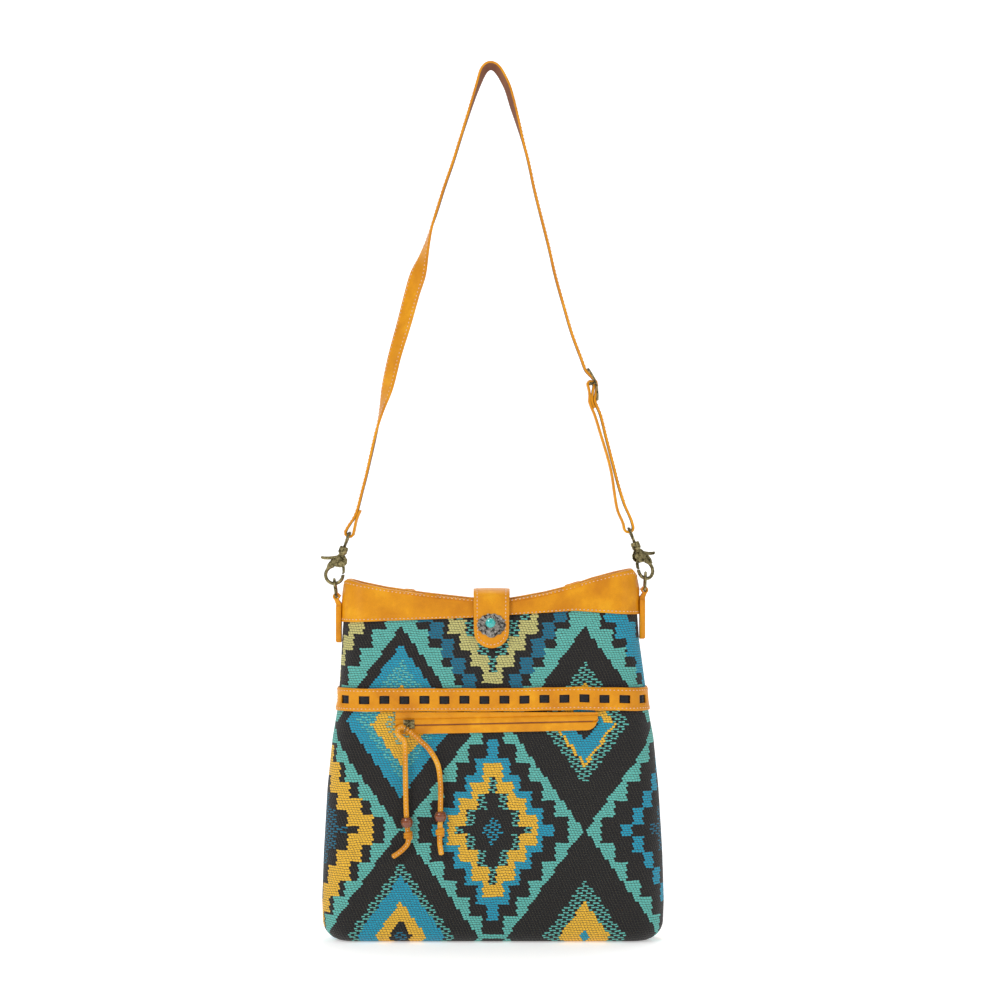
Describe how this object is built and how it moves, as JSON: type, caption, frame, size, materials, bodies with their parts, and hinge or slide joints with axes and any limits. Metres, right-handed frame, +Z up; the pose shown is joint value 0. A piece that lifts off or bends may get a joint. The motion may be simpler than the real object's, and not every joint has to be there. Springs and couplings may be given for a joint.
{
  "type": "shoulder bag",
  "caption": "Flat woven wool shoulder bag with stepped diamonds, mustard leather yoke and laced band, front zip pocket, turquoise concho tab and a long leather strap on snap hooks.",
  "frame": {"origin": "centre of the flat underside of the base panel", "axes": "+X to the right of the bag as seen from its front, +Y from the front to the back, +Z up along the strap"},
  "size_m": [0.2808, 0.0596, 0.7173],
  "materials": {
    "weave": "coarse twill wool weave",
    "lining": "plain cotton",
    "leather": "smooth dyed leather, cream stitching",
    "black_lace": "flat lace",
    "zip_tape": "woven tape",
    "zip_coil": "nylon coil",
    "antique_brass": "aged, darkened in the recesses",
    "silver": "antiqued silver plate",
    "turquoise": "polished stone",
    "wood": "polished"
  },
  "bodies": {
    "bag": {"base_panel": "leather", "fabric_body": "weave", "body_lining": "lining", "yoke_front": "leather", "yoke_back": "leather", "band_front": "leather", "band_back": "leather", "lace_front": "black_lace", "lace_back": "black_lace", "zip_welt": "leather", "zip_tape": "zip_tape", "zip_coil": "zip_coil", "tab_back": "leather", "snap_base": "silver", "side_tab_left": "leather", "side_tab_right": "leather"},
    "zip_slider": {"zip_slider": "antique_brass"},
    "zip_pull": {"zip_pull_ring": "antique_brass", "pull_lace": "leather", "bead_left": "wood", "bead_right": "wood", "knot_left": "leather", "knot_right": "leather"},
    "closing_tab": {"tab_flap": "leather", "snap_cap": "silver", "concho": "silver", "concho_stone": "turquoise"},
    "d_ring_left": {"d_ring_left": "antique_brass"},
    "d_ring_right": {"d_ring_right": "antique_brass"},
    "strap": {"shoulder_strap": "leather", "slide_buckle": "antique_brass", "swivel_eye_left": "antique_brass", "swivel_eye_right": "antique_brass"},
    "hook_left": {"hook_left": "antique_brass", "gate_pin_left": "antique_brass"},
    "hook_right": {"hook_right": "antique_brass", "gate_pin_right": "antique_brass"},
    "gate_left": {"hook_gate_left": "antique_brass"},
    "gate_right": {"hook_gate_right": "antique_brass"}
  },
  "joints": [
    {"name": "zip_slide", "type": "slide", "parent": "bag", "child": "zip_slider", "axis": [0.9998, 0, 0.0223], "range_m": [0, 0.146]},
    {"name": "pull_hinge", "type": "hinge", "parent": "zip_slider", "child": "zip_pull", "pos_m": [-0.068, -0.02928, 0.17981], "axis": [-1, 0, 0], "range_deg": [0, 110]},
    {"name": "tab_hinge", "type": "hinge", "parent": "bag", "child": "closing_tab", "pos_m": [-0.0012, 0.02171, 0.27954], "axis": [-1, 0, 0], "range_deg": [0, 110]},
    {"name": "d_ring_hinge_left", "type": "hinge", "parent": "bag", "child": "d_ring_left", "pos_m": [-0.12798, 0, 0.28031], "axis": [0, 1, 0], "range_deg": [-3, 2]},
    {"name": "d_ring_hinge_right", "type": "hinge", "parent": "bag", "child": "d_ring_right", "pos_m": [0.12389, 0, 0.28564], "axis": [0, 1, 0], "range_deg": [-3, 3]},
    {"name": "strap_swing", "type": "hinge", "parent": "bag", "child": "strap", "pos_m": [-0.12988, 0, 0.29073], "axis": [0.9999, 0, 0.0158], "range_deg": [-70, 70]},
    {"name": "swivel_left", "type": "hinge", "parent": "strap", "child": "hook_left", "pos_m": [-0.12988, 0, 0.29783], "axis": [0.342, 0, 0.9397], "range_deg": [-20, 12]},
    {"name": "swivel_right", "type": "hinge", "parent": "strap", "child": "hook_right", "pos_m": [0.12479, 0, 0.30186], "axis": [-0.3746, 0, 0.9272], "range_deg": [-70, 0]},
    {"name": "gate_hinge_left", "type": "hinge", "parent": "hook_left", "child": "gate_left", "pos_m": [-0.12455, 0, 0.31101], "axis": [0, 1, 0], "range_deg": [0, 25], "stiffness_Nm_per_rad": 0.02},
    {"name": "gate_hinge_right", "type": "hinge", "parent": "hook_right", "child": "gate_right", "pos_m": [0.1191, -0.00029, 0.31487], "axis": [0.5318, -0.8192, 0.2149], "range_deg": [0, 25], "stiffness_Nm_per_rad": 0.02}
  ]
}
